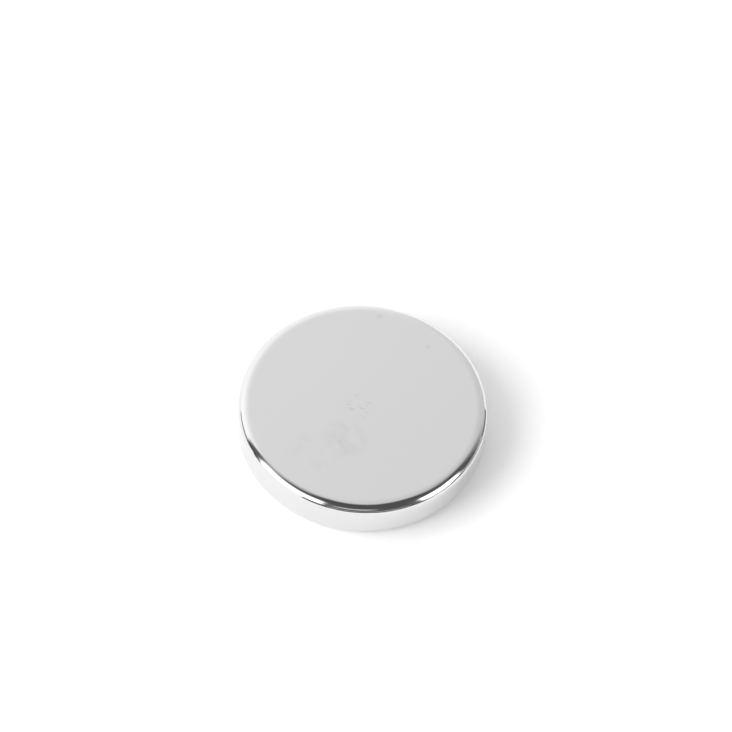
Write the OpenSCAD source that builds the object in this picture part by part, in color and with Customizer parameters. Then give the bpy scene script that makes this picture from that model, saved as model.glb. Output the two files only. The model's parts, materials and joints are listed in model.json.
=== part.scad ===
// Disc magnet: one sintered disc, ground flat, tumbled and plated all over.
// All sizes are in millimetres. The disc lies flat on its lower pole face,
// centred on the Z axis, with that face at z = 0.

/* [Disc] */
// Diameter across the round wall
disc_d = 16; // [8:0.1:60]
// Thickness from one pole face to the other
disc_t = 3; // [2.5:0.1:12]

/* [Edges] */
// Radius that tumbling gives the edge between the wall and each pole face
edge_r = 0.7; // [0.1:0.05:1.2]

/* [Hidden] */
$fn = 240;

disc_r = disc_d / 2;
// Radius of the flat part of a pole face, inside its rounded edge
flat_r = disc_r - edge_r;
// Height of the straight part of the wall, between the two rounded edges
wall_h = disc_t - 2 * edge_r;

// Half of the disc's section, from the axis out to the wall. The two circles
// are tangent to the wall and to a pole face, so no step shows where they meet.
module half_section() {
    square([flat_r, disc_t]);
    translate([0, edge_r])
        square([disc_r, wall_h]);
    for (z = [edge_r, disc_t - edge_r])
        translate([flat_r, z])
            circle(r = edge_r);
}

// The whole magnet: a solid disc, with no hole and no separate layers.
module magnet_disc() {
    color("silver")
        rotate_extrude()
            half_section();
}

magnet_disc();
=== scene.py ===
"""Disc magnet: one sintered disc, nickel-plated all over, lying on a white table.

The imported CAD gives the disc's place, diameter, thickness and edge radius. Lengths are in
metres. The disc lies on the XY plane, centred on Z; the camera stands on the -Y side.
"""

import json
import math

import bmesh
import bpy
from mathutils import Matrix, Vector, noise


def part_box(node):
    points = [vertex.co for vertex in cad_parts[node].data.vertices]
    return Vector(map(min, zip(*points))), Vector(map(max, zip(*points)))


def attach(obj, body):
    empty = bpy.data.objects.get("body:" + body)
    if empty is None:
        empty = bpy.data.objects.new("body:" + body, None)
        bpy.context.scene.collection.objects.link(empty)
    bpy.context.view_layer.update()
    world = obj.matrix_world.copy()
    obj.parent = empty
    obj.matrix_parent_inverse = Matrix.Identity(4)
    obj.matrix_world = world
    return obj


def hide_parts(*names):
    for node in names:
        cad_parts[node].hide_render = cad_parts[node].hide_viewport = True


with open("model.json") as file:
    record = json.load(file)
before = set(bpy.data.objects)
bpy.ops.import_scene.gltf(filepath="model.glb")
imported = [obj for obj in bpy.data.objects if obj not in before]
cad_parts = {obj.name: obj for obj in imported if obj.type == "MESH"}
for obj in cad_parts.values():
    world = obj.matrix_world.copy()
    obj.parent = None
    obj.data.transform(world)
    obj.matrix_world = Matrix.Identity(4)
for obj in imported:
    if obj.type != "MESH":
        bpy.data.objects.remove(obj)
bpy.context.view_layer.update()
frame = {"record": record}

MM = 0.001
UP = Vector((0, 0, 1))

# The disc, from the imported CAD
DISC_LOW, DISC_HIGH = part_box("magnet_disc")
DISC_CENTRE = (DISC_LOW + DISC_HIGH) / 2
DISC_R = (DISC_HIGH.x - DISC_LOW.x) / 2
DISC_T = DISC_HIGH.z - DISC_LOW.z
RIM = next(m for m in frame["record"]["mounts"] if m["name"] == "rim")
WALL_H = RIM["dims"]["length_mm"] * MM
EDGE_R = (DISC_T - WALL_H) / 2
FLAT_R = DISC_R - EDGE_R

# Mesh fineness
AROUND = 720            # facets round the disc
EDGE_STEPS = 24         # facets across a rounded edge
WALL_STEPS = 10         # rows of facets up the wall
FACE_RINGS = (0.15 * MM, 0.45 * MM, 1.2 * MM, 2.4 * MM)  # widths of the rings inside a face
MERGE = 0.0001 * MM     # vertices nearer than this become one

# Tumbling leaves the edges slightly uneven
DENT_WAVE = 1.3 * MM    # length of one dent along the edge
DENT_DEPTH = 0.004 * MM
DENT_START = 0.01 * MM  # the flat face keeps its shape as far out as this past its border
DENT_FULL = EDGE_R / 2  # the dents have their whole depth from here outwards
# Nicks where the edge meets the wall: azimuth in degrees, then height, size and depth in mm
NICKS = (
    (-121.0, 2.44, 0.20, 0.014),
    (-126.5, 2.38, 0.18, 0.012),
    (-132.0, 2.30, 0.22, 0.016),
    (-157.0, 2.40, 0.20, 0.005),
    (-171.0, 2.44, 0.17, 0.004),
    (-178.0, 2.36, 0.15, 0.005),
    (172.0, 2.42, 0.18, 0.004),
    (138.0, 2.38, 0.22, 0.005),
    (128.0, 2.40, 0.17, 0.004),
)

# Colours
NICKEL = "#E1E1E1"
NICKEL_SCUFFED = "#D6D6D6"
TABLE_WHITE = "#F4F4F4"
CARD_BLACK = "#4A4A4A"

# Camera: a long lens, high in front of the disc and slightly rolled
VIEW_ELEVATION = math.radians(56.06)
VIEW_ROLL = math.radians(5.4)
VIEW_DISTANCE = 29 * 2 * DISC_R
LENS = 355.9            # focal length in mm, on a sensor 36 mm wide
SENSOR_WIDTH = 36
AIM_RIGHT = 0.23 * MM   # the point it looks at, from the disc's centre, across its view
AIM_UP = 3.30 * MM
NEAR_CLIP = 0.01
FAR_CLIP = 5

STAGE_R = 0.85          # radius of the table
STAGE_SIDES = 96        # facets round the table and the backdrop
# Black cards standing on the table in an arc round the disc: azimuth from and to, height
CARD_RING_R = 17 * MM
CARD_STEPS = 12         # facets along one card
CARDS = (
    (-114, -99, 3.0 * MM),
    (-99, -90, 2.1 * MM),
    (-90, -80, 1.6 * MM),
    (66, 82, 2.9 * MM),
    (82, 107, 1.9 * MM),
    (107, 118, 2.7 * MM),
    (118, 135, 1.5 * MM),
    (135, 146, 2.7 * MM),
    (146, 196, 2.2 * MM),
    (196, 212, 3.1 * MM),
)


def linear(colour):
    """The scene-linear RGBA of an sRGB hex colour."""
    parts = [int(colour[i:i + 2], 16) / 255 for i in (1, 3, 5)]
    return [c / 12.92 if c <= 0.04045 else ((c + 0.055) / 1.055) ** 2.4 for c in parts] + [1]


def add(tree, kind, inputs, **settings):
    """Adds a node. An input is a value, a socket, or a node, whose first output it takes."""
    made = tree.nodes.new("ShaderNode" + kind)
    for name, value in settings.items():
        setattr(made, name, value)
    for key, value in inputs.items():
        if isinstance(value, bpy.types.Node):
            value = value.outputs[0]
        if isinstance(value, bpy.types.NodeSocket):
            tree.links.new(value, made.inputs[key])
        else:
            made.inputs[key].default_value = value
    return made


def new_material(name):
    """An empty material's node tree and the material."""
    material = bpy.data.materials.new(name)
    material.use_nodes = True
    material.node_tree.nodes.clear()
    return material, material.node_tree


# ---------------------------------------------------------------- materials

# Surface patterns: distance from crest to crest, and the depth of those that are bumps
PEEL_WAVE = 0.3 * MM    # orange peel of the plating
PEEL_DEPTH = 0.00025 * MM
LINE_WAVE = 0.12 * MM   # lines that grinding left round the wall
LINE_DEPTH = 0.0002 * MM
LINE_SHORTEN = 0.03     # the lines are 1 / 0.03 times as long as they are far apart
CLOUD_WAVE = 4 * MM     # duller and brighter clouds
HAIR_WAVE = 0.15 * MM   # scuffs
HAIR_SHORTEN = 0.22
HAIR_TURN = math.radians(12)
PATCH_WAVE = 0.9 * MM   # dull patches in the smudge
# The lines of the wall fade out towards a face, from outside its border to inside it
LINES_START = 0.25 * MM
LINES_END = 0.1 * MM
# Roughness of the brightest and the dullest cloud, and what full wear adds to it
HAZE_LEAST = 0.09
HAZE_MOST = 0.15
HAZE_OF_WEAR = 0.12

# Marks on the upper face: the middle, then the radius
SCUFFS = (Vector((-0.28, -0.2, 3.0)) * MM, 1.3 * MM)
SMUDGE = (Vector((-0.95, -2.75, 3.0)) * MM, 1.9 * MM)
SMUDGE_TRACE = (Vector((-3.0, -4.2, 3.0)) * MM, 2.3 * MM)
SPECKS = (
    (Vector((0.51, 6.92, 3.0)) * MM, 0.28 * MM),
    (Vector((3.76, 4.89, 3.0)) * MM, 0.22 * MM),
)
SPECK_WEAR = 0.55
TRACE_SHARE = 0.5       # wear in the trace, as a share of that in the smudge
MARK_CORE = 0.15        # a mark has its full strength out to this share of its radius


def bright_nickel():
    """Bright electroplated nickel over a tumbled sintered disc.

    The eye sees a neutral grey mirror, a little hazy. The edges and the wall carry the soft
    unevenness of tumbling, the wall has faint lines round it from grinding, and the face
    has a few scuffs, a smudge and pinholes.
    """
    material, tree = new_material("bright_nickel_plate")
    place = add(tree, "TexCoord", {}).outputs["Object"]
    across = add(tree, "VectorMath", {0: place, 1: (1, 1, 0)}, operation="MULTIPLY")
    radius = add(tree, "VectorMath", {0: across}, operation="LENGTH").outputs["Value"]
    off_face = add(tree, "MapRange", {
        "Value": radius, "From Min": FLAT_R - LINES_END, "From Max": FLAT_R + LINES_START,
    }, interpolation_type="SMOOTHSTEP")

    peel = add(tree, "TexNoise", {"Vector": place, "Scale": 1 / PEEL_WAVE, "Detail": 1.0})
    clouds = add(tree, "TexNoise", {"Vector": place, "Scale": 1 / CLOUD_WAVE, "Detail": 3.0})
    lines_at = add(tree, "Mapping", {"Vector": place, "Scale": (LINE_SHORTEN, LINE_SHORTEN, 1)})
    lines = add(tree, "TexNoise", {"Vector": lines_at, "Scale": 1 / LINE_WAVE, "Detail": 1.0})

    # How worn each point is, 0 to 1: short bent hairs in the scuffs, patches in the smudge
    hairs_at = add(tree, "Mapping", {
        "Vector": place, "Rotation": (0, 0, HAIR_TURN), "Scale": (HAIR_SHORTEN, 1, 1),
    })
    hairs = add(tree, "TexNoise", {
        "Vector": hairs_at, "Scale": 1 / HAIR_WAVE, "Detail": 1.0, "Distortion": 0.8,
    })
    hairs = add(tree, "MapRange", {"Value": hairs, "From Min": 0.565, "From Max": 0.65})
    patches = add(tree, "TexNoise", {
        "Vector": place, "Scale": 1 / PATCH_WAVE, "Detail": 3.0, "Distortion": 0.5,
    })
    patches = add(tree, "MapRange", {
        "Value": patches, "From Min": 0.40, "From Max": 0.66, "To Max": 0.8,
    })
    faint = add(tree, "Math", {0: patches, 1: TRACE_SHARE}, operation="MULTIPLY")
    wear = None
    for (middle, size), strength in (
        (SCUFFS, hairs), (SMUDGE, patches), (SMUDGE_TRACE, faint),
        *((speck, SPECK_WEAR) for speck in SPECKS),
    ):
        away = add(tree, "VectorMath", {0: place, 1: middle}, operation="DISTANCE")
        near = add(tree, "MapRange", {
            "Value": away.outputs["Value"], "From Min": size, "From Max": size * MARK_CORE,
        }, interpolation_type="SMOOTHSTEP")
        mark = add(tree, "Math", {0: near, 1: strength}, operation="MULTIPLY")
        wear = add(tree, "Math", {0: wear, 1: mark}, operation="MAXIMUM") if wear else mark

    colour = add(tree, "Mix", {
        "Factor": wear, "A": linear(NICKEL), "B": linear(NICKEL_SCUFFED),
    }, data_type="RGBA").outputs["Result"]
    haze = add(tree, "MapRange", {
        "Value": clouds, "To Min": HAZE_LEAST, "To Max": HAZE_MOST,
    })
    roughness = add(tree, "Math", {0: wear, 1: HAZE_OF_WEAR, 2: haze}, operation="MULTIPLY_ADD")

    peel_bump = add(tree, "Bump", {"Height": peel, "Distance": PEEL_DEPTH})
    line_height = add(tree, "Math", {0: lines, 1: off_face}, operation="MULTIPLY")
    line_bump = add(tree, "Bump", {
        "Height": line_height, "Distance": LINE_DEPTH, "Normal": peel_bump,
    })
    plate = add(tree, "BsdfPrincipled", {
        "Base Color": colour, "Metallic": 1.0, "Roughness": roughness, "Normal": line_bump,
    })
    add(tree, "OutputMaterial", {"Surface": plate})
    return material


def painted_board():
    """Matt white painted board: plain and pale, with no shine of its own."""
    material, tree = new_material("white_painted_board")
    matt = add(tree, "BsdfDiffuse", {"Color": linear(TABLE_WHITE)})
    add(tree, "OutputMaterial", {"Surface": matt})
    return material


# ---------------------------------------------------------------- the disc

def tumble(point):
    """Moves a point of the rounded edge or the wall by the disc's slight unevenness."""
    flat = Vector((point.x, point.y, 0))
    if flat.length < FLAT_R + DENT_START:
        return point
    share = min(1, (flat.length - FLAT_R) / DENT_FULL)
    level = max(DISC_LOW.z + EDGE_R, min(DISC_HIGH.z - EDGE_R, point.z))
    core = flat.normalized() * FLAT_R + UP * level
    outward = (point - core).normalized()
    rise = noise.noise(point / DENT_WAVE) * DENT_DEPTH * share
    for azimuth, height, size, depth in NICKS:
        turn = math.radians(azimuth)
        middle = Vector((math.sin(turn), math.cos(turn), 0)) * DISC_R + UP * height * MM
        rise -= depth * MM * math.exp(-((point - middle).length / (size * MM)) ** 2)
    return point + outward * rise


def plated_disc():
    """The disc: a round blank with both edges rounded, its mesh ringed for even facets."""
    bm = bmesh.new()
    bmesh.ops.create_cone(
        bm, cap_ends=True, segments=AROUND, radius1=DISC_R, radius2=DISC_R, depth=DISC_T,
        matrix=Matrix.Translation(DISC_CENTRE),
    )
    rims = [e for e in bm.edges if abs(e.verts[0].co.z - e.verts[1].co.z) < EDGE_R]
    bmesh.ops.bevel(
        bm, geom=rims, offset=EDGE_R, offset_type="OFFSET", segments=EDGE_STEPS,
        profile=0.5, affect="EDGES", material=-1, clamp_overlap=False,
    )
    uprights = [e for e in bm.edges if abs(e.verts[0].co.z - e.verts[1].co.z) > WALL_H / 2]
    bmesh.ops.subdivide_edges(bm, edges=uprights, cuts=WALL_STEPS - 1, use_grid_fill=True)
    faces = [f for f in bm.faces if len(f.verts) == AROUND]
    for width in FACE_RINGS:
        bmesh.ops.inset_region(bm, faces=faces, thickness=width, use_even_offset=True)
    for vert in bm.verts:
        vert.co = tumble(vert.co)
    bmesh.ops.remove_doubles(bm, verts=bm.verts, dist=MERGE)
    bmesh.ops.recalc_face_normals(bm, faces=bm.faces)
    for face in bm.faces:
        face.smooth = True
    mesh = bpy.data.meshes.new("plated_disc")
    bm.to_mesh(mesh)
    bm.free()
    disc = bpy.data.objects.new("plated_disc", mesh)
    bpy.context.scene.collection.objects.link(disc)
    mesh.materials.append(bright_nickel())
    return disc


disc = plated_disc()
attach(disc, "root")
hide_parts("magnet_disc")


# ---------------------------------------------------------------- table and backdrop

def stage_sheet(name, build):
    """A stage object, from a function that fills its bmesh."""
    bm = bmesh.new()
    build(bm)
    mesh = bpy.data.meshes.new(name)
    bm.to_mesh(mesh)
    bm.free()
    sheet = bpy.data.objects.new(name, mesh)
    bpy.context.scene.collection.objects.link(sheet)
    return sheet


def table_top(bm):
    """A round table top at the height of the lower face."""
    bmesh.ops.create_circle(bm, cap_ends=True, segments=STAGE_SIDES, radius=STAGE_R)


def backdrop_ring(bm):
    """A wall round the table's rim, above and below it."""
    bmesh.ops.create_cone(
        bm, cap_ends=False, segments=STAGE_SIDES, radius1=STAGE_R, radius2=STAGE_R,
        depth=2 * STAGE_R,
    )


def standing_cards(bm):
    """Each card is an upright edge spun along its arc."""
    for start, end, height in CARDS:
        foot = Vector((0, CARD_RING_R, 0))
        upright = bm.edges.new([bm.verts.new(foot), bm.verts.new(foot + UP * height)])
        bmesh.ops.rotate(
            bm, verts=upright.verts, cent=(0, 0, 0),
            matrix=Matrix.Rotation(math.radians(-start), 3, "Z"),
        )
        bmesh.ops.spin(
            bm, geom=[upright, *upright.verts], cent=(0, 0, 0), axis=UP,
            angle=math.radians(start - end), steps=CARD_STEPS,
        )


table = stage_sheet("table", table_top)
table.data.materials.append(painted_board())
# Only the camera sees the backdrop: an evenly lit white, past the end of the table
backdrop = stage_sheet("backdrop", backdrop_ring)
glow, glow_tree = new_material("white_backdrop")
add(glow_tree, "OutputMaterial", {"Surface": add(glow_tree, "Emission", {"Strength": 1.0})})
backdrop.data.materials.append(glow)
backdrop.visible_diffuse = False
backdrop.visible_glossy = False
backdrop.visible_shadow = False
# Only the plate sees the cards: they draw the dark lines along its shoulders
cards = stage_sheet("cards", standing_cards)
card, card_tree = new_material("black_card")
matt_black = add(card_tree, "BsdfDiffuse", {"Color": linear(CARD_BLACK)})
add(card_tree, "OutputMaterial", {"Surface": matt_black})
cards.data.materials.append(card)
cards.visible_camera = False
cards.visible_diffuse = False
cards.visible_shadow = False


# ---------------------------------------------------------------- studio light

# What the disc sees round it, from its own place, in degrees. Azimuth 0 is behind the disc
# and 90 is to its right. Each edge is (where, softness); a later panel covers an earlier one.
DARK_ROOM = 0.095
PANELS = {
    "tent behind": {"level": 0.72, "left": (-84, 3), "right": (67, 18)},
    "its left half": {"level": 0.78, "left": (-84, 3), "right": (24, 26)},
    "left of its seam": {"level": 0.88, "left": (-84, 3), "right": (0, 4)},
    "its lower part": {"level": 0.94, "left": (-60, 30), "right": (4, 8), "top": (56, 3.5)},
    "its lit foot": {"level": 1.28, "left": (-84, 3), "right": (-10, 62), "top": (42, 24)},
    "roof": {"level": 0.80, "bottom": (77, 7)},
    "roof at left": {"level": 0.72, "left": (-128, 14), "right": (-84, 3), "bottom": (62, 12)},
    "roof corner": {"level": 0.64, "left": (-108, 10), "right": (-84, 3), "bottom": (44, 14)},
    "roof at right": {"level": 0.76, "left": (66, 18), "right": (96, 13), "bottom": (61, 14)},
    "left panel": {"level": 2.40, "left": (-156, 4), "right": (-102, 3), "top": (37, 9)},
    "right panel": {"level": 4.00, "left": (98, 5), "right": (129, 2), "top": (29, 8)},
    "far window": {
        "level": 0.85, "left": (165, 5), "right": (194, 6), "bottom": (15, 3), "top": (24, 4),
    },
}
# Each lamp: azimuth, elevation, size and strength
LAMPS = {
    "key_lamp": (-106, 28, 60, 2.90),
    "front_lamp": (160, 45, 60, 0.84),
}


def studio_world():
    """The room: a white tent behind and above, a panel at each side, dark by the camera."""
    world = bpy.data.worlds.new("studio")
    bpy.context.scene.world = world
    world.use_nodes = True
    tree = world.node_tree
    tree.nodes.clear()
    direction = add(tree, "TexCoord", {}).outputs["Generated"]
    axes = add(tree, "SeparateXYZ", {"Vector": direction}).outputs
    azimuth = add(tree, "Math", {0: axes["X"], 1: axes["Y"]}, operation="ARCTAN2")
    elevation = add(tree, "Math", {0: axes["Z"]}, operation="ARCSINE")
    light = DARK_ROOM
    for panel in PANELS.values():
        mask = 1.0
        for side, angle, sign in (
            ("left", azimuth, 1), ("right", azimuth, -1),
            ("bottom", elevation, 1), ("top", elevation, -1),
        ):
            if side not in panel:
                continue
            where, soft = map(math.radians, panel[side])
            if angle is azimuth:
                middle = math.radians(panel["left"][0] + panel["right"][0]) / 2
                angle = add(tree, "Math", {0: azimuth, 1: middle}, operation="SUBTRACT")
                angle = add(tree, "Math", {0: angle, 1: -math.pi, 2: math.pi}, operation="WRAP")
                where -= middle
            edge = add(tree, "MapRange", {
                "Value": angle, "From Min": where - sign * soft, "From Max": where + sign * soft,
            }, interpolation_type="SMOOTHSTEP")
            mask = add(tree, "Math", {0: mask, 1: edge}, operation="MULTIPLY")
        light = add(tree, "Mix", {
            "Factor": mask, "A": light, "B": panel["level"],
        }, data_type="FLOAT")
    background = add(tree, "Background", {"Color": (1, 1, 1, 1), "Strength": light})
    add(tree, "OutputWorld", {"Surface": background})


def soft_lamp(name, azimuth, elevation, size, strength):
    """A broad soft lamp, far away. The plate doesn't mirror it."""
    lamp = bpy.data.lights.new(name, "SUN")
    lamp.energy = strength
    lamp.angle = math.radians(size)
    holder = bpy.data.objects.new(name, lamp)
    bpy.context.scene.collection.objects.link(holder)
    turn, lift = math.radians(azimuth), math.radians(elevation)
    towards = Vector((
        math.sin(turn) * math.cos(lift), math.cos(turn) * math.cos(lift), math.sin(lift),
    ))
    holder.rotation_mode = "QUATERNION"
    holder.rotation_quaternion = towards.to_track_quat("Z", "Y")
    holder.visible_glossy = False


studio_world()
for lamp_name, settings in LAMPS.items():
    soft_lamp(lamp_name, *settings)


# ---------------------------------------------------------------- camera

def place_camera():
    """A camera on the -Y side, rolled about its own axis, with its aim beside the disc."""
    lens = bpy.data.cameras.new("camera")
    lens.lens = LENS
    lens.sensor_width = SENSOR_WIDTH
    lens.clip_start = NEAR_CLIP
    lens.clip_end = FAR_CLIP
    camera = bpy.data.objects.new("camera", lens)
    bpy.context.scene.collection.objects.link(camera)
    back = Vector((0, -math.cos(VIEW_ELEVATION), math.sin(VIEW_ELEVATION)))
    turn = back.to_track_quat("Z", "Y").to_matrix() @ Matrix.Rotation(VIEW_ROLL, 3, "Z")
    aim = DISC_CENTRE + turn @ Vector((AIM_RIGHT, AIM_UP, 0))
    camera.matrix_world = Matrix.Translation(aim + back * VIEW_DISTANCE) @ turn.to_4x4()
    bpy.context.scene.camera = camera


place_camera()
bpy.context.scene.view_settings.view_transform = "Standard"
